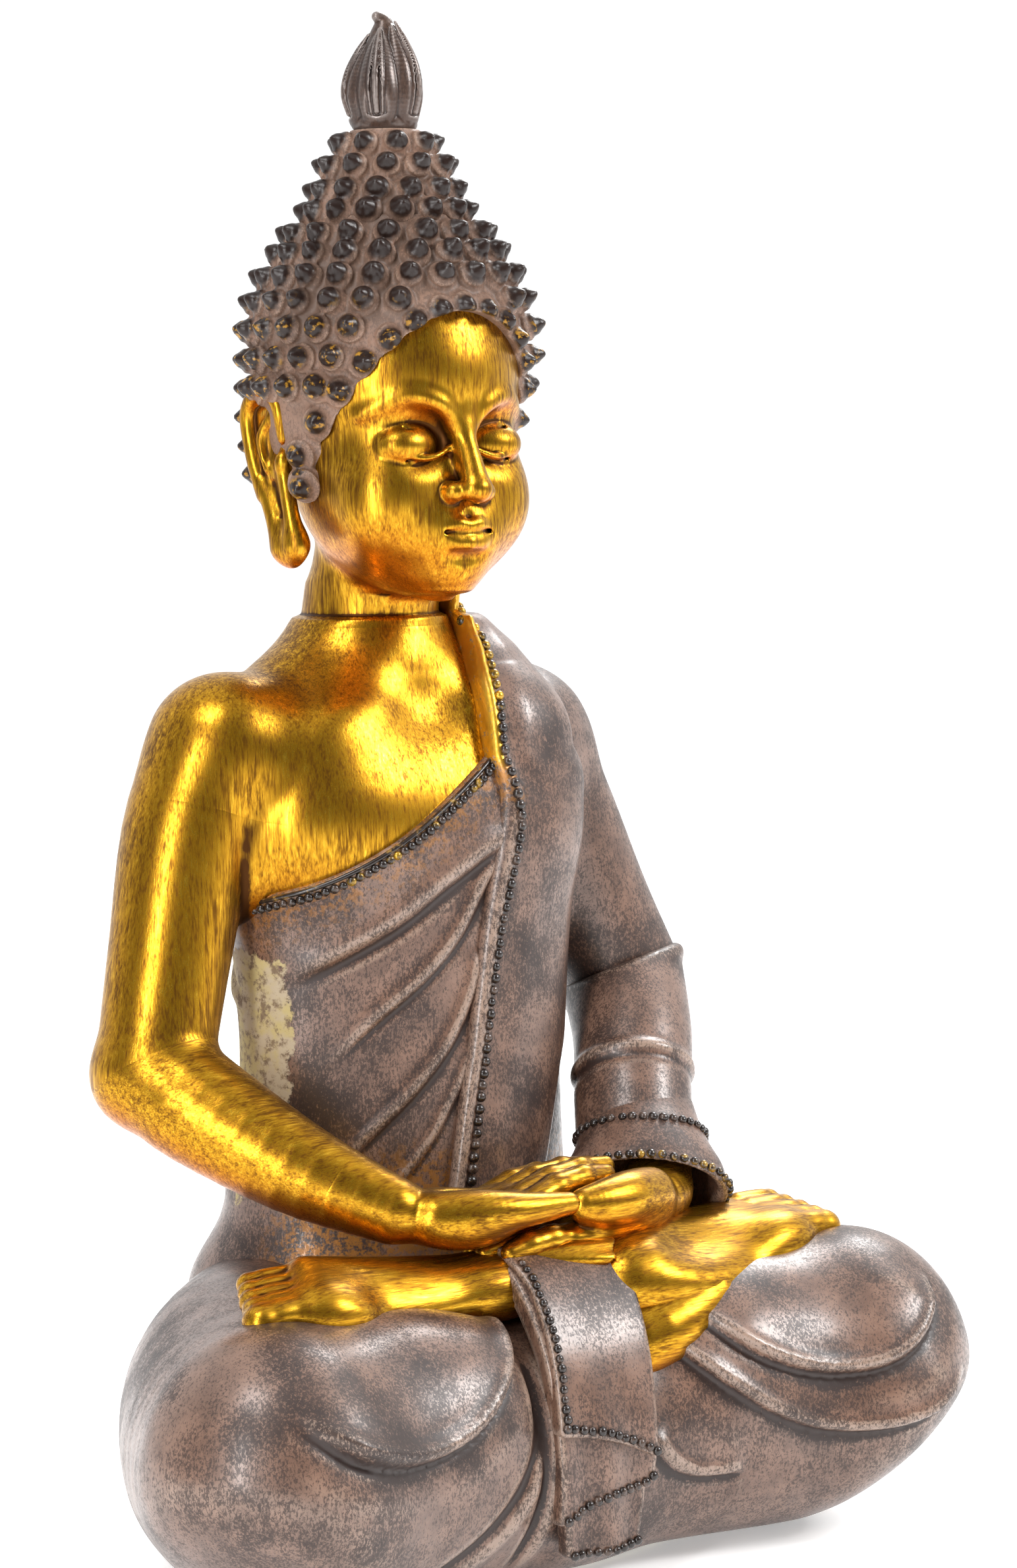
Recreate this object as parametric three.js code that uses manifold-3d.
// A seated, meditating figure in a monk's robe: a painted resin statue made of separately cast
// sections that are pinned and bonded together. Millimetres, +Z up, the figure faces -Y and its
// left side is +X. The origin is on the floor, under the neck.
import * as THREE from "three";
import { mergeVertices } from "three/addons/utils/BufferGeometryUtils.js";
import Module from "manifold-3d";

const wasm = await Module();
wasm.setup();

// ---------------------------------------------------------------- driving dimensions
const HEIGHT = 300;
const FLOOR = 1; // the underside of the castings: the felt sheet lifts them by this much
const GAP = 0.3; // clearance between bonded sections
const BEAD_RADIUS = 1.2;
const TOLERANCE = 0.1; // how far the surfaces may be simplified: well under the clearance
const ROBE_THICKNESS = 1.4; // how far the robe stands proud of the skin

const FINIAL_BASE = 277;
const TOPKNOT_BASE = 259;
const SKULL_CENTRE = 232;
const HAIR_RADIUS = 26.8;
const CURL_HEIGHT = 4.2;
const CHIN = 187;
const NECK_RADIUS = 13.4;

const point = (x, y, z) => new THREE.Vector3(x, y, z);
const SHOULDER = point(38, 5, 157.5);
const ELBOW = point(58.5, -1, 97.5);
const WRIST = point(31, -40, 72.5);
const HIP = point(30, 6, 30);
const KNEE = point(68, -55, 31);
const ANKLE = point(14, -53, 55);
const TOES = point(69.5, -42.5, 61);

const SKIN = { color: 0xc8931c, metalness: 0.9, roughness: 0.32 };
const ROBE = { color: 0x8a6e66, metalness: 0.1, roughness: 0.42 };
const HAIR = { color: 0x6e5a54, metalness: 0.1, roughness: 0.5 };
const TRIM = { color: 0x3a2f2c, metalness: 0.2, roughness: 0.4 };
const STEEL = { color: 0xa8a8ac, metalness: 1, roughness: 0.35 };
const RESIN = { color: 0xd9cfb8, metalness: 0, roughness: 0.7 };
const FELT = { color: 0x2c2a2a, metalness: 0, roughness: 0.95 };

// ---------------------------------------------------------------- shape helpers
const mirrored = (p) => point(-p.x, p.y, p.z);
const mirroredAll = (points) => points.map(mirrored);

function catmullRom(values, t) {
  const span = values.length - 1;
  const i = Math.min(Math.floor(t * span), span - 1);
  const u = t * span - i;
  const [p0, p1, p2, p3] = [-1, 0, 1, 2].map((k) => values[THREE.MathUtils.clamp(i + k, 0, span)]);
  const bend = (2 * p1 - 2 * p2 + (p2 - p0) / 2 + (p3 - p1) / 2) * u ** 3;
  return bend + (-3 * p1 + 3 * p2 - (p2 - p0) - (p3 - p1) / 2) * u ** 2 + ((p2 - p0) / 2) * u + p1;
}

// A closed surface through rings of equally many points, with a pole at each end. Where studded,
// the diagonals alternate, so that points raised by turns stand as separate studs.
function skin(rings, studded = false) {
  const count = rings[0].length;
  const centre = (ring) => ring.reduce((sum, p) => sum.add(p), point(0, 0, 0)).divideScalar(count);
  const vertices = [centre(rings[0]), ...rings.flat(), centre(rings.at(-1))];
  const last = vertices.length - 1;
  const index = [];
  for (let k = 0; k < count; k++) {
    const next = (k + 1) % count;
    index.push(0, 1 + next, 1 + k);
    for (let r = 0; r < rings.length - 1; r++) {
      const low = 1 + r * count;
      const high = low + count;
      const turned = studded && (r + k) % 2;
      if (turned) index.push(low + k, low + next, high + next, low + k, high + next, high + k);
      else index.push(low + k, low + next, high + k, low + next, high + next, high + k);
    }
    index.push(last - count + k, last - count + next, last);
  }
  const geometry = new THREE.BufferGeometry().setFromPoints(vertices);
  return geometry.setIndex(index);
}

function solid(geometry) {
  const bare = geometry.clone();
  bare.deleteAttribute("normal");
  bare.deleteAttribute("uv");
  const merged = mergeVertices(bare, 1e-4);
  const mesh = new wasm.Mesh({
    numProp: 3,
    vertProperties: new Float32Array(merged.attributes.position.array),
    triVerts: new Uint32Array(merged.index.array),
  });
  return new wasm.Manifold(mesh);
}

const join = (...solids) => solids.reduce((sum, s) => sum.add(s));
const cut = (body, ...tools) => tools.reduce((sum, s) => sum.subtract(s), body);

// The largest piece of a cut body, without the slivers that a cut can leave.
function largest(body) {
  return body.decompose().sort((p, q) => q.volume() - p.volume())[0];
}

function geometryOf(body) {
  const { numProp, vertProperties, triVerts, numVert } = body.getMesh();
  const flat = new Float32Array(numVert * 3);
  for (let i = 0; i < numVert; i++) flat.set(vertProperties.subarray(i * numProp, i * numProp + 3), i * 3);
  const geometry = new THREE.BufferGeometry();
  geometry.setAttribute("position", new THREE.BufferAttribute(flat, 3));
  return geometry.setIndex(new THREE.BufferAttribute(triVerts, 1));
}

// A round-ended limb: elliptic rings square to a smooth centreline. Each radius is [across, up].
function limb(path, radii, { grow = 0, sides = 16, steps = 12, up = point(0, 0, 1), dome = 3 } = {}) {
  const curve = new THREE.CatmullRomCurve3(path, false, "centripetal");
  const rings = [];
  const ring = (t, along, share) => {
    const tangent = curve.getTangent(t);
    const across = point(0, 0, 0).crossVectors(up, tangent).normalize();
    const over = point(0, 0, 0).crossVectors(tangent, across);
    const [a, b] = [0, 1].map((k) => (catmullRom(radii.map((r) => r[k]), t) + grow) * share);
    const centre = curve.getPoint(t).addScaledVector(tangent, along);
    rings.push(
      Array.from({ length: sides }, (_, k) => {
        const angle = (2 * Math.PI * k) / sides;
        return centre
          .clone()
          .addScaledVector(across, a * Math.cos(angle))
          .addScaledVector(over, b * Math.sin(angle));
      }),
    );
  };
  const reach = (t) => Math.min(...[0, 1].map((k) => catmullRom(radii.map((r) => r[k]), t))) + grow;
  for (let i = 1; i <= dome; i++) {
    const angle = (Math.PI / 2) * (i / (dome + 1));
    ring(0, -reach(0) * Math.cos(angle), Math.sin(angle));
  }
  for (let i = 0; i <= steps; i++) ring(i / steps, 0, 1);
  for (let i = dome; i >= 1; i--) {
    const angle = (Math.PI / 2) * (i / (dome + 1));
    ring(1, reach(1) * Math.cos(angle), Math.sin(angle));
  }
  return solid(skin(rings));
}

// The section of a stack of level ellipses at a share t of its height: [z, y, half width, half depth].
const section = (levels, t) => [0, 1, 2, 3].map((k) => catmullRom(levels.map((l) => l[k]), t));

// A body made of level ellipses stacked along Z.
function stack(levels, { grow = 0, sides = 32, steps = 14, x = 0 } = {}) {
  const rings = [];
  for (let i = 0; i <= steps; i++) {
    const [z, y, a, b] = section(levels, i / steps);
    rings.push(
      Array.from({ length: sides }, (_, k) => {
        const angle = (2 * Math.PI * k) / sides;
        return point(x + (a + grow) * Math.cos(angle), y + (b + grow) * Math.sin(angle), z);
      }),
    );
  }
  return solid(skin(rings));
}

function block(low, high) {
  const size = point(...high).sub(point(...low));
  const box = new THREE.BoxGeometry(size.x, size.y, size.z);
  return solid(box.translate(low[0] + size.x / 2, low[1] + size.y / 2, low[2] + size.z / 2));
}

function rod(from, to, radius, sides = 12) {
  const length = from.distanceTo(to);
  const turn = new THREE.Quaternion().setFromUnitVectors(point(0, 1, 0), to.clone().sub(from).normalize());
  const middle = from.clone().lerp(to, 0.5);
  const cylinder = new THREE.CylinderGeometry(radius, radius, length, sides);
  return solid(cylinder.applyQuaternion(turn).translate(middle.x, middle.y, middle.z));
}

// A round bead cord laid along points.
function cord(points, radius, steps) {
  const curve = new THREE.CatmullRomCurve3(points, false, "centripetal");
  const outline = new THREE.Shape().absarc(0, 0, radius, 0, 2 * Math.PI);
  const extruded = new THREE.ExtrudeGeometry(outline, { steps, curveSegments: 2, extrudePath: curve });
  return solid(extruded);
}

// ---------------------------------------------------------------- the torso and its robe
const TORSO_LEVELS = [
  [30, 8, 41, 31],
  [46, 6.5, 39, 29],
  [62, 4, 36.5, 25.5],
  [78, 1.5, 34.8, 22],
  [94, 0.5, 34.2, 20.3],
  [110, 0.5, 34.6, 20],
  [126, 1, 36.5, 20.5],
  [142, 2, 38.5, 20.5],
  [156, 4.5, 39, 18.5],
  [168, 7.5, 33, 14.8],
  [180, 9, 14.6, 12.8],
];
const TORSO_BASE = 44;
const NECKLINE_AT_AXIS = 150.5; // height of the robe's upper edge where it crosses the axis
const NECKLINE_SLOPE = 0.58;

const torso = (grow) => stack(TORSO_LEVELS, { grow, sides: 28, steps: 14 });
const torsoTop = TORSO_LEVELS.at(-1)[0];

// Everything under the robe's slanting upper edge, lowered by drop.
function underNeckline(drop) {
  const half = 90;
  const height = (x) => NECKLINE_AT_AXIS + NECKLINE_SLOPE * x - drop;
  const outline = new THREE.Shape([
    new THREE.Vector2(-half, 0),
    new THREE.Vector2(half, 0),
    new THREE.Vector2(half, height(half)),
    new THREE.Vector2(-half, height(-half)),
  ]);
  const wedge = new THREE.ExtrudeGeometry(outline, { depth: 2 * half, bevelEnabled: false });
  return solid(wedge.rotateX(Math.PI / 2).translate(0, half, 0));
}

// A point on the torso's surface: turn is measured from the front (-Y) towards the figure's left.
function onTorso(z, turn, lift) {
  const levels = TORSO_LEVELS.map((l) => l[0]);
  let i = levels.findIndex((_, k) => k + 1 < levels.length && z <= levels[k + 1]);
  if (i < 0) i = levels.length - 2;
  const u = (z - levels[i]) / (levels[i + 1] - levels[i]);
  const [, y, a, b] = section(TORSO_LEVELS, (i + u) / (levels.length - 1));
  const angle = THREE.MathUtils.degToRad(turn);
  return point((a + lift) * Math.sin(angle), y - (b + lift) * Math.cos(angle), z);
}

// ---------------------------------------------------------------- pins inside the joints
const PIN_RADIUS = 2.5;
const PINS = {
  finial_pin: [point(0, 0, FINIAL_BASE - 9), point(0, 0, FINIAL_BASE + 7)],
  neck_pin: [point(0, 8.5, 160), point(0, 7, 196)],
  right_arm_pin: [point(-16, 4, 157), point(-38, 4.5, 158)],
  left_arm_pin: [point(16, 4, 157), point(38, 4.5, 158)],
};
const pin = (name, grow) => rod(...PINS[name], PIN_RADIUS + grow, 10);
const pinHole = (name) => {
  const [from, to] = PINS[name];
  const ahead = to.clone().sub(from).setLength(GAP);
  return rod(from.clone().sub(ahead), to.clone().add(ahead), PIN_RADIUS + GAP, 10);
};

// ---------------------------------------------------------------- head, hair and finial
const HEAD_LEVELS = [
  [CHIN, -8, 8, 9],
  [190, -7.5, 13.5, 15],
  [196, -4.5, 17.8, 19.3],
  [205, -2.5, 20.6, 22.2],
  [215, -1.5, 22, 23.6],
  [225, -1, 23, 24.2],
  [235, -0.5, 23.4, 24.3],
  [245, 0, 21, 22],
  [252, 0, 14, 15],
  [255, 0, 8, 8],
];
const NECK_LEVELS = [
  [torsoTop + GAP, 9, NECK_RADIUS + 1.2, 12.8],
  [184, 8, NECK_RADIUS, 12.6],
  [190, 6, NECK_RADIUS - 0.2, 12.6],
  [197, 4, NECK_RADIUS, 13],
  [204, 3, NECK_RADIUS, 13],
];
const NOSE = [point(0, -24, 222), point(0, -27.3, 210), point(0, -24.5, 205)];
const NOSE_RADII = [[1.6, 2], [3, 2.6], [2.6, 2]];

function head(grow) {
  const face = stack(HEAD_LEVELS, { grow, sides: 24, steps: 12 });
  const neck = stack(NECK_LEVELS, { grow, sides: 16, steps: 4 });
  const nose = limb(NOSE, NOSE_RADII, { grow, sides: 8, steps: 4, dome: 1, up: point(1, 0, 0) });
  return join(face, neck, nose);
}

const SKULL_LEVELS = [
  [204, 7, 15, 13],
  [208, 6, 21.5, 19],
  [216, 2.5, 25, 23.5],
  [226, 0.5, HAIR_RADIUS, HAIR_RADIUS - 1],
  [238, 0, HAIR_RADIUS, HAIR_RADIUS],
  [248, 0, 23.5, 23.5],
  [255, 0, 19.5, 19.5],
  [TOPKNOT_BASE, 0, 16.5, 16.5],
];
const TOPKNOT_LEVELS = [
  [TOPKNOT_BASE + GAP, 0, 15.5, 15.5],
  [264, 0, 12.6, 12.6],
  [269, 0, 11, 11],
  [273, 0, 8.6, 8.6],
  [FINIAL_BASE - GAP, 0, 7.2, 7.2],
];

// The opening of the hair round the face: a tall oval that runs forward from the temples.
function faceOpening(grow) {
  const oval = new THREE.CylinderGeometry(1, 1, 60, 28);
  oval.scale(21.8 + grow, 1, 27.5 + grow);
  return solid(oval.translate(0, -38, 213.5));
}

// A stack of level ellipses whose rings rise and fall by turns, like rows of staggered snail curls.
function curled(levels, { sides, steps, height, bare = () => false }) {
  const rings = [];
  for (let i = 0; i <= steps; i++) {
    const [z, y, a, b] = section(levels, i / steps);
    const ends = i === 0 || i === steps;
    rings.push(
      Array.from({ length: sides }, (_, k) => {
        const angle = (2 * Math.PI * k) / sides;
        const at = point(a * Math.cos(angle), y + b * Math.sin(angle), z);
        const lift = ends || bare(at) || (i + k) % 2 ? 0 : height;
        return at.add(point(lift * Math.cos(angle), lift * Math.sin(angle), lift * 0.25));
      }),
    );
  }
  return solid(skin(rings, true));
}

function hairCap() {
  const bare = (p) => p.z < 224 && Math.abs(p.x) > 21 && p.y < 13;
  const dressed = curled(SKULL_LEVELS, { sides: 34, steps: 13, height: CURL_HEIGHT, bare });
  return cut(dressed, faceOpening(0), head(GAP));
}

const topknot = () => curled(TOPKNOT_LEVELS, { sides: 22, steps: 5, height: CURL_HEIGHT * 0.9 });

// A closed bud of upright flame tongues: a star section that narrows to a bent tip.
function finial() {
  const FLUTES = 6;
  const rise = HEIGHT - FINIAL_BASE;
  const outline = [7.0, 7.9, 8.1, 7.4, 6.1, 4.6, 3.2, 2.2, 1.3, 0.9];
  const steps = 10;
  const sides = FLUTES * 3;
  const rings = [];
  for (let i = 0; i <= steps; i++) {
    const t = i / steps;
    const radius = catmullRom(outline, t);
    rings.push(
      Array.from({ length: sides }, (_, k) => {
        const angle = (2 * Math.PI * k) / sides;
        const reach = radius * (1 + 0.07 * Math.cos(FLUTES * angle));
        return point(reach * Math.cos(angle) - 0.8 * t ** 3, reach * Math.sin(angle), FINIAL_BASE + rise * t);
      }),
    );
  }
  return solid(skin(rings));
}

const EAR_PATH = [point(25.6, 8.5, 226), point(25.6, 7, 216), point(24.6, 4, 204), point(23.2, 1.6, 194.5)];
const EAR_RADII = [[2.2, 4.6], [2.2, 5.2], [2.2, 4.2], [2.7, 4.4]];
const ear = (path, grow) => limb(path, EAR_RADII, { grow, sides: 10, steps: 7, dome: 2, up: point(0, 1, 0.3).normalize() });

// ---------------------------------------------------------------- arms and hands
const UPPER_ARM_RADII = [[13.2, 13.2], [12.6, 12.8], [11.8, 11.8], [11.2, 11.2]];
const FOREARM_RADII = [[11.2, 11.2], [10.8, 10.8], [8.8, 8.8], [6.8, 6]];

const placed = (side, points) => (side < 0 ? mirroredAll(points) : points);
const UPPER_ARM = [SHOULDER, point(46, 4.2, 142), point(52.5, 2, 119), ELBOW];
const FOREARM = [ELBOW, point(54.5, -10, 91), point(43, -27, 80), WRIST];

function upperArm(side, grow) {
  return limb(placed(side, UPPER_ARM), UPPER_ARM_RADII, { grow, sides: 16, steps: 7, up: point(0, 1, 0) });
}

function forearm(side, grow) {
  return limb(placed(side, FOREARM), FOREARM_RADII, { grow, sides: 16, steps: 7 });
}

// A hand lying palm up: a flat palm and four fingers side by side.
function hand({ wrist, knuckles, tips, spread, grow = 0 }) {
  const palm = limb([wrist, wrist.clone().lerp(knuckles, 0.5), knuckles], [[6.5, 5.2], [8.6, 4.2], [8.4, 3.4]], {
    grow,
    sides: 10,
    steps: 3,
    dome: 2,
  });
  const fingers = [-1.5, -0.5, 0.5, 1.5].map((k) => {
    const aside = point(0, k * spread, Math.abs(k) * -0.2);
    const length = 1 - 0.06 * Math.abs(k + 0.3);
    const from = knuckles.clone().add(aside);
    const to = knuckles.clone().lerp(tips, length).add(aside);
    const middle = from.clone().lerp(to, 0.5).add(point(0, 0, 0.9));
    return limb([from, middle, to], [[2.5, 2.6], [2.3, 2.4], [1.8, 1.9]], { grow, sides: 6, steps: 3, dome: 1 });
  });
  return join(palm, ...fingers);
}

const THUMB_RADII = [[4.2, 4.6], [3.6, 4], [2.4, 2.6]];
const thumb = (path, grow) => limb(path, THUMB_RADII, { grow, sides: 8, steps: 3, dome: 1 });

// The right hand lies in the left one, and the thumbs meet in front of them.
function rightHand(grow) {
  const [wrist, knuckles, tips] = [point(-29, -40, 72), point(-7, -40.5, 70.5), point(20, -38.5, 73.5)];
  const thumbPath = [point(-26, -46, 71.5), point(-12, -51.5, 70.5), point(1.5, -52.5, 72)];
  return join(hand({ wrist, knuckles, tips, spread: 4.2, grow }), thumb(thumbPath, grow));
}

function leftHand(grow) {
  const [wrist, knuckles, tips] = [point(32, -40, 67.5), point(6, -42.5, 63.5), point(-14, -44.5, 62.8)];
  const thumbPath = [point(27, -46, 70), point(17, -51, 69.5), point(6.5, -52.5, 71)];
  return join(hand({ wrist, knuckles, tips, spread: 4.2, grow }), thumb(thumbPath, grow));
}

// The sleeve widens from the elbow and ends in a flared, drooping cuff.
const SLEEVE_ELBOW = point(54.5, -1, 106);
const SLEEVE_UPPER = [point(32, 5, 156), point(40, 4.2, 141), point(48, 1.5, 121), SLEEVE_ELBOW];
const SLEEVE_UPPER_RADII = [[13.2, 13.2], [13, 13], [12.6, 12.6], [12.2, 12.2]];
const SLEEVE_LOWER = [SLEEVE_ELBOW, point(48, -13, 94.5), point(42, -20.5, 84.5), point(38, -26, 76)];
const SLEEVE_LOWER_RADII = [[12.2, 12.2], [12.2, 12], [11.8, 11.4], [11.8, 11]];
const CUFF_PATH = [point(40, -24, 79), point(38, -28, 75), point(35.5, -32, 71), point(33.5, -35, 67.5)];
const CUFF_RADII = [[12, 11], [12.8, 11.4], [15, 12], [17.4, 12.4]];
const upperSleeve = (grow) => limb(SLEEVE_UPPER, SLEEVE_UPPER_RADII, { grow, sides: 16, steps: 7, up: point(0, 1, 0) });
const lowerSleeve = (grow) => limb(SLEEVE_LOWER, SLEEVE_LOWER_RADII, { grow, sides: 16, steps: 5 });
const cuff = (grow) => limb(CUFF_PATH, CUFF_RADII, { grow, sides: 18, steps: 4, dome: 1 });

// A ring of points round the cuff, at a share t along it.
function roundCuff(t, lift) {
  const curve = new THREE.CatmullRomCurve3(CUFF_PATH, false, "centripetal");
  const tangent = curve.getTangent(t);
  const across = point(0, 0, 0).crossVectors(point(0, 0, 1), tangent).normalize();
  const over = point(0, 0, 0).crossVectors(tangent, across);
  const [a, b] = [0, 1].map((k) => catmullRom(CUFF_RADII.map((r) => r[k]), t) + lift);
  const count = 15;
  return Array.from({ length: count }, (_, k) => {
    const angle = Math.PI * (-0.12 + (1.24 * k) / (count - 1));
    return curve
      .getPoint(t)
      .addScaledVector(across, a * Math.cos(angle))
      .addScaledVector(over, b * Math.sin(angle));
  });
}

// ---------------------------------------------------------------- legs, feet and seat
const THIGH_RADII = [[26, 29], [27, 29], [26.5, 28.5], [24.5, 28]];
const SHIN_RADII = [[21, 24], [20, 23.5], [19, 23], [18.5, 22.5]];
const LAP_RADII = [[14, 17], [14, 17]]; // the robe that fills the lap between thigh and shin
const SEAT_LEVELS = [
  [FLOOR, 4, 50, 31],
  [12, 4, 57, 36],
  [24, 5, 57, 37],
  [36, 5, 51, 35],
  [TORSO_BASE - GAP, 6, 45, 32],
];
const PLATE = { y: -15, across: 55, deep: 37, thickness: 3 };

function leg(side, grow) {
  const place = side < 0 ? mirroredAll : (points) => points;
  const thigh = place([HIP, point(46, -12, 29.5), point(60, -35, 29.5), KNEE]);
  const shin = place([point(68, -57, 27), point(50, -54, 25), point(26, -49, 24.5), point(2, -46.5, 24)]);
  const lap = place([point(16, -36, 38), point(46, -37, 38)]);
  return join(
    limb(thigh, THIGH_RADII, { grow, sides: 18, steps: 6 }),
    limb(shin, SHIN_RADII, { grow, sides: 16, steps: 5 }),
    limb(lap, LAP_RADII, { grow, sides: 12, steps: 2 }),
  );
}

function halfSpace(side) {
  const far = 200;
  if (side < 0) return block([-far, -far, FLOOR], [-GAP / 2, far, far]);
  return block([GAP / 2, -far, FLOOR], [far, far, far]);
}

// A bare foot that lies sole up on the opposite thigh.
function foot(side, grow) {
  const place = side < 0 ? mirroredAll : (points) => points;
  const tilt = point(0, -0.55, 0.83).normalize();
  const sole = place([ANKLE, point(28, -52.5, 57), point(44, -49, 59.5), point(58, -45.5, 60.5)]);
  const radii = [[8, 7.5], [9, 7], [9.6, 5.6], [9, 4]];
  const body = limb(sole, radii, { grow, sides: 12, steps: 4, up: tilt, dome: 2 });
  const ball = point(58, -45.5, 60.5);
  const toes = [-2, -1, 0, 1, 2].map((k) => {
    const aside = point(0.5 * k, 2.57 * k, 1.7 * k);
    const reach = 1 - 0.05 * (k + 2);
    const path = place([ball.clone().add(aside), ball.clone().lerp(TOES, reach).add(aside)]);
    const size = k === -2 ? 2.6 : 1.9;
    return limb(path, [[size, size], [size, size]], { grow, sides: 6, steps: 1, dome: 1 });
  });
  return join(body, ...toes);
}

// The bare shin that shows between the drape and the foot above it.
function bareShin(grow) {
  const path = [point(6, -54, 43), point(17, -57, 46), point(28, -55, 50)];
  return limb(path, [[8, 8], [8, 7.5], [7, 6]], { grow, sides: 10, steps: 3, dome: 2 });
}

// The undyed folds of cloth under the hands.
function lapCloth(grow) {
  const path = [point(-24, -40, 54), point(-8, -43, 55), point(8, -43, 55), point(24, -40, 54)];
  return limb(path, [[14, 6], [16, 7.5], [16, 7.5], [14, 6]], { grow, sides: 12, steps: 4, dome: 2 });
}

function disc(low, high, inset) {
  const cylinder = new THREE.CylinderGeometry(1, 1, high - low, 40).rotateX(Math.PI / 2);
  cylinder.scale(PLATE.across - inset, PLATE.deep - inset, 1);
  return solid(cylinder.translate(0, PLATE.y, (low + high) / 2));
}

// ---------------------------------------------------------------- cloth laid over the body
// A band of cloth carried along points: a strip, bowed across, that reaches depth below its face.
class Band {
  constructor({ points, widths, facing, thickness, depth = 5, bow = 0.6 }) {
    Object.assign(this, { widths, facing, thickness, depth, bow });
    this.curve = new THREE.CatmullRomCurve3(points, false, "centripetal");
  }

  // The point a share t along and u (-1 to 1) across, height above the path.
  at(t, u, height) {
    const tangent = this.curve.getTangent(t);
    const side = point(0, 0, 0).crossVectors(tangent, this.facing(t)).normalize();
    const out = point(0, 0, 0).crossVectors(side, tangent);
    const width = catmullRom(this.widths, t);
    return this.curve
      .getPoint(t)
      .addScaledVector(side, u * width * 0.5)
      .addScaledVector(out, height + this.bow * (1 - u * u));
  }

  body({ from = 0, to = 1, steps = 14, across = 4 } = {}) {
    const rings = [];
    for (let i = 0; i <= steps; i++) {
      const t = from + ((to - from) * i) / steps;
      const strip = (height) =>
        Array.from({ length: across + 1 }, (_, k) => this.at(t, (2 * k) / across - 1, height));
      rings.push([...strip(this.thickness), ...strip(-this.depth).reverse()]);
    }
    const made = solid(skin(rings));
    return made.volume() > 0 ? made : solid(skin(rings.map((ring) => ring.reverse())));
  }
}

const sashBand = new Band({
  points: [
    onTorso(163, 118, 1.6),
    onTorso(171, 96, 1.6),
    onTorso(170, 62, 1.6),
    onTorso(159, 42, 1.6),
    onTorso(143, 35, 1.6),
    onTorso(125, 33, 1.6),
    onTorso(105, 29, 1.6),
    onTorso(88, 21, 1.8),
    onTorso(72, 13, 1.8),
  ],
  widths: [21, 21, 21, 24, 26, 28, 27, 25, 22],
  thickness: 1.6,
  depth: 4,
  facing: (t) => {
    const over = THREE.MathUtils.smoothstep(t, 0.05, 0.4);
    return point(0.55, 0.35 - 1.15 * over, 1 - 0.95 * over);
  },
});

const drapeBand = new Band({
  points: [
    point(-1, -40, 60),
    point(-1, -50, 57),
    point(-1, -58, 50),
    point(-1, -64, 40),
    point(-1.5, -67, 27),
    point(-2, -67, 15),
    point(-2.5, -65, 4),
  ],
  widths: [21, 22.5, 23.5, 23.5, 23, 22, 20],
  thickness: 0.9,
  depth: 7,
  facing: (t) => point(0, -THREE.MathUtils.smoothstep(t, 0, 0.5) - 0.02, Math.max(0.05, 1 - 2 * t)),
});
const DRAPE_TIERS = [
  { name: "drape_upper", from: 0.0, to: 0.65, rise: 2.4 },
  { name: "drape_middle", from: 0.45, to: 0.82, rise: 1.2 },
  { name: "drape_lower", from: 0.66, to: 0.95, rise: 0 },
];

function drapeTier({ from, to, rise }, grow) {
  const tier = Object.assign(Object.create(Band.prototype), drapeBand);
  tier.thickness = drapeBand.thickness + rise + grow;
  tier.widths = drapeBand.widths.map((w) => w + 0.8 * rise + 2 * grow);
  const stretch = grow / 80;
  return tier.body({ from: Math.max(from - stretch, 0), to: Math.min(to + stretch, 1), steps: 8 });
}

function drapeHem({ to, rise }) {
  const height = drapeBand.thickness + rise;
  const points = [-1, -0.6, -0.2, 0.2, 0.6, 1].map((u) => drapeBand.at(to - 0.035, u, height));
  return cord(points, BEAD_RADIUS, 8);
}

// A run of beads on the slanting upper edge of the robe, between two turns from the front.
function necklineCord(from, to) {
  const points = [];
  const stops = 10;
  for (let k = 0; k <= stops; k++) {
    const turn = from + ((to - from) * k) / stops;
    let [low, high] = [100, torsoTop - 1];
    for (let i = 0; i < 24; i++) {
      const z = (low + high) / 2;
      const edge = NECKLINE_AT_AXIS + NECKLINE_SLOPE * onTorso(z, turn, ROBE_THICKNESS).x;
      if (z > edge) high = z;
      else low = z;
    }
    points.push(onTorso(low, turn, ROBE_THICKNESS + 0.3));
  }
  return cord(points, BEAD_RADIUS, 20);
}

// ---------------------------------------------------------------- putting the sections together
const statue = new THREE.Group();

function add(name, body, look) {
  const light = largest(largest(body).simplify(TOLERANCE));
  const mesh = new THREE.Mesh(geometryOf(light), new THREE.MeshStandardMaterial(look));
  mesh.name = name;
  statue.add(mesh);
}

const pinHoles = Object.keys(PINS).map(pinHole);
for (const name of Object.keys(PINS)) add(name, pin(name, 0), STEEL);

// Head
add("flame_finial", cut(finial(), ...pinHoles), HAIR);
add("topknot", cut(topknot(), ...pinHoles), HAIR);
const ears = { right_ear: mirroredAll(EAR_PATH), left_ear: EAR_PATH };
add("hair_cap", cut(hairCap(), ...pinHoles, ...Object.values(ears).map((path) => ear(path, GAP))), HAIR);
add("head", cut(head(0), ...pinHoles), SKIN);
for (const [name, path] of Object.entries(ears)) add(name, cut(ear(path, 0), head(GAP)), SKIN);
const urna = new THREE.SphereGeometry(1.6, 10, 8).translate(0, -25.4, 229);
add("urna_bead", cut(solid(urna), head(GAP)), SKIN);

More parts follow.
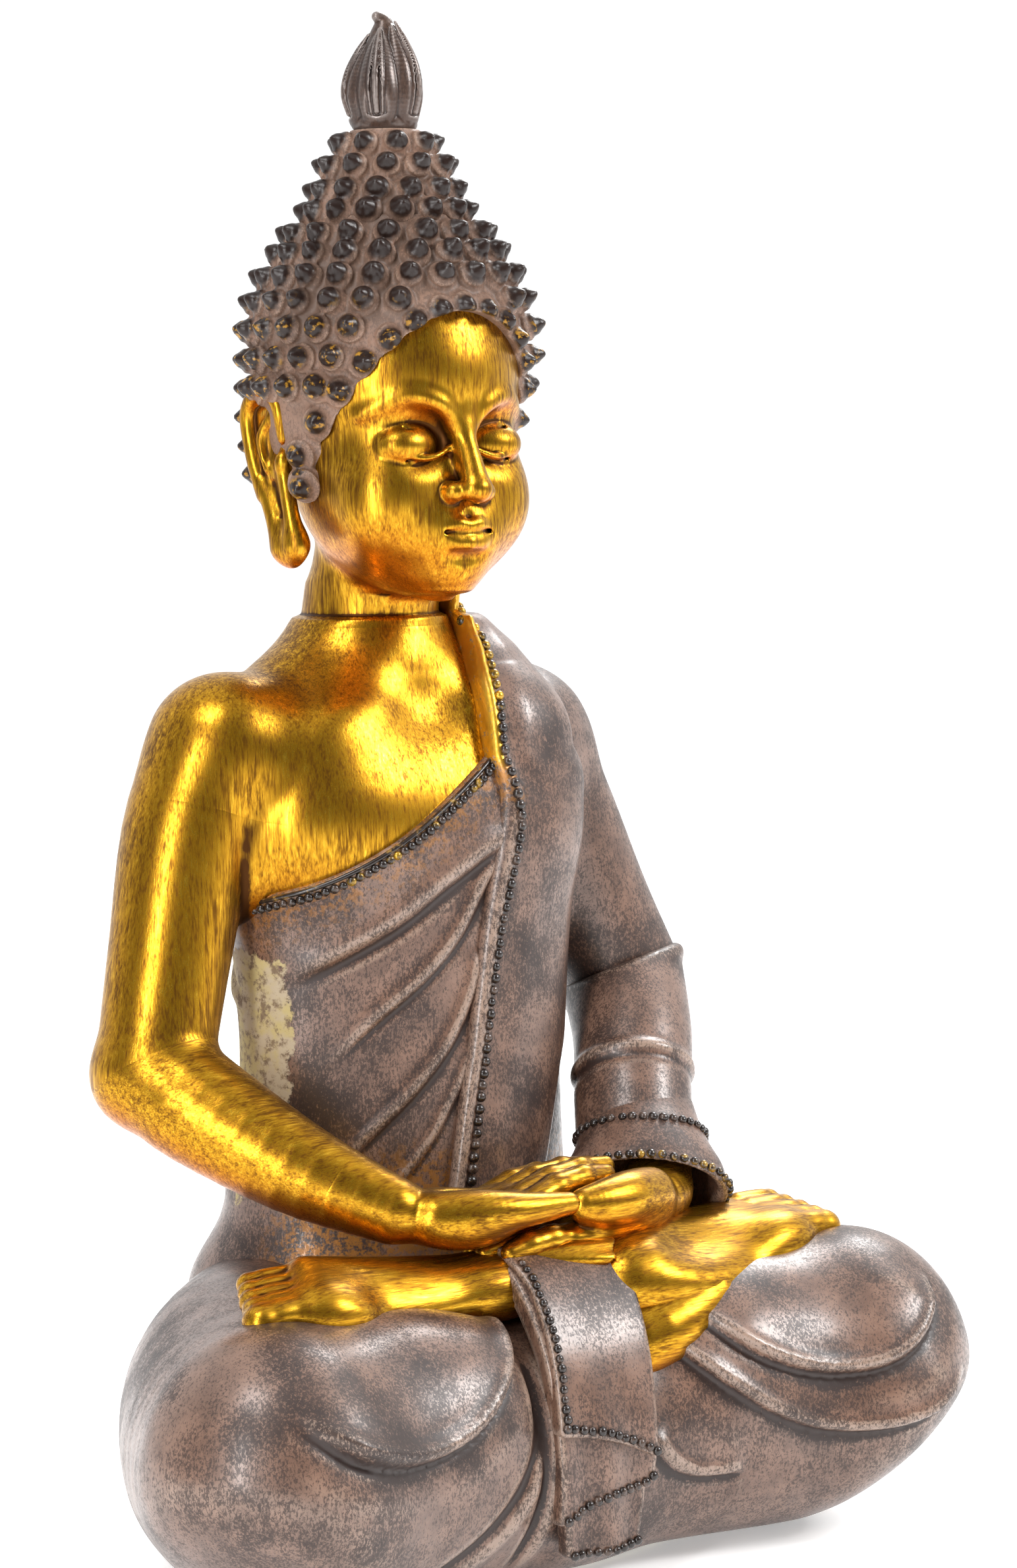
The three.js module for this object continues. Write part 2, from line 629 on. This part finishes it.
// Torso, with the sash and the beads laid on the robe
const armSeats = [upperArm(-1, GAP), upperArm(1, GAP), upperSleeve(GAP)];
const hands = { right_hand: rightHand(0), left_hand: cut(leftHand(0), rightHand(GAP)) };
const handSeats = [rightHand(GAP), leftHand(GAP)];
const chest = cut(torso(0), underNeckline(-GAP));
const robe = cut(torso(ROBE_THICKNESS).intersect(underNeckline(0)), block([-90, -90, 0], [90, 90, TORSO_BASE]));
const sash = cut(sashBand.body({ steps: 18 }), torso(ROBE_THICKNESS + GAP));
add("chest", cut(chest, ...armSeats, ...pinHoles), SKIN);
add("robe_wrap", cut(robe, ...armSeats, ...handSeats, ...pinHoles), ROBE);
add("sash", cut(sash, ...armSeats, ...handSeats), ROBE);
const sashEdge = Array.from({ length: 10 }, (_, k) => sashBand.at(0.27 + (0.7 * k) / 9, 0.9, 2.5));
const skinUnder = [torso(ROBE_THICKNESS + GAP)];
const sashRaised = Object.assign(Object.create(Band.prototype), sashBand, {
  thickness: sashBand.thickness + GAP,
  widths: sashBand.widths.map((w) => w + 2 * GAP),
});
const overSash = sashRaised.body({ steps: 18 });
add("sash_beading", cut(cord(sashEdge, BEAD_RADIUS, 18), overSash, ...skinUnder, ...armSeats, ...handSeats), TRIM);
add("neckline_beading_front", cut(necklineCord(18, -82), overSash, ...skinUnder, ...armSeats), TRIM);
add("neckline_beading_back", cut(necklineCord(-98, -215), overSash, ...skinUnder, ...armSeats), TRIM);

// Arms
add("right_upper_arm", cut(upperArm(-1, 0), ...pinHoles), SKIN);
add("right_forearm", cut(forearm(-1, 0), upperArm(-1, GAP), rightHand(GAP)), SKIN);
add("right_hand", hands.right_hand, SKIN);
add("left_hand", hands.left_hand, SKIN);
add("left_sleeve_upper", cut(upperSleeve(0), ...pinHoles), ROBE);
add("left_sleeve_lower", cut(lowerSleeve(0), upperSleeve(GAP), cuff(GAP), ...handSeats), ROBE);
add("left_cuff", cut(cuff(0), ...handSeats), ROBE);
const cuffSeats = [cuff(GAP), lowerSleeve(GAP), foot(1, GAP), leg(1, GAP), ...handSeats];
add("cuff_beading_upper", cut(cord(roundCuff(0.3, 0.4), BEAD_RADIUS, 12), ...cuffSeats), TRIM);
add("cuff_beading_lower", cut(cord(roundCuff(0.92, 0.4), BEAD_RADIUS, 14), ...cuffSeats), TRIM);

// Legs and what lies on them
const robeSeat = torso(ROBE_THICKNESS + GAP);
const plate = disc(FLOOR, FLOOR + PLATE.thickness, 0);
const plateSeat = disc(FLOOR - 1, FLOOR + PLATE.thickness + GAP, -GAP);
const limbsAbove = [...handSeats, cuff(GAP), forearm(-1, GAP), lowerSleeve(GAP), upperArm(-1, GAP)];
const feetSeats = [foot(1, GAP), foot(-1, GAP), bareShin(GAP)];
for (const [name, side] of [["right_leg", -1], ["left_leg", 1]]) {
  const body = leg(side, 0).intersect(halfSpace(side));
  add(name, cut(body, robeSeat, plateSeat, ...limbsAbove, ...feetSeats), ROBE);
}
const legSeats = [leg(1, GAP), leg(-1, GAP)];
const seat = stack(SEAT_LEVELS, { sides: 26, steps: 6 });
add("seat", cut(seat, plateSeat, ...legSeats), ROBE);
add("right_foot", cut(foot(1, 0), ...limbsAbove), SKIN);
add("left_foot", cut(foot(-1, 0), ...limbsAbove), SKIN);
add("right_shin", cut(bareShin(0), foot(1, GAP), foot(-1, GAP), ...limbsAbove), SKIN);
add("lap_cloth", cut(lapCloth(0), robeSeat, ...legSeats, ...feetSeats, ...limbsAbove), SKIN);
const drapeUnder = [...legSeats, ...feetSeats, lapCloth(GAP), plateSeat, ...limbsAbove];
const tiersOver = [];
for (const tier of DRAPE_TIERS) {
  add(tier.name, cut(drapeTier(tier, 0), ...drapeUnder, ...tiersOver), ROBE);
  tiersOver.push(drapeTier(tier, GAP));
}
for (const tier of DRAPE_TIERS) {
  add(`${tier.name}_beading`, cut(drapeHem(tier), ...tiersOver, ...drapeUnder), TRIM);
}
add("base_plate", plate, RESIN);
add("felt_sheet", disc(0, FLOOR - GAP / 3, 2), FELT);

export default statue;
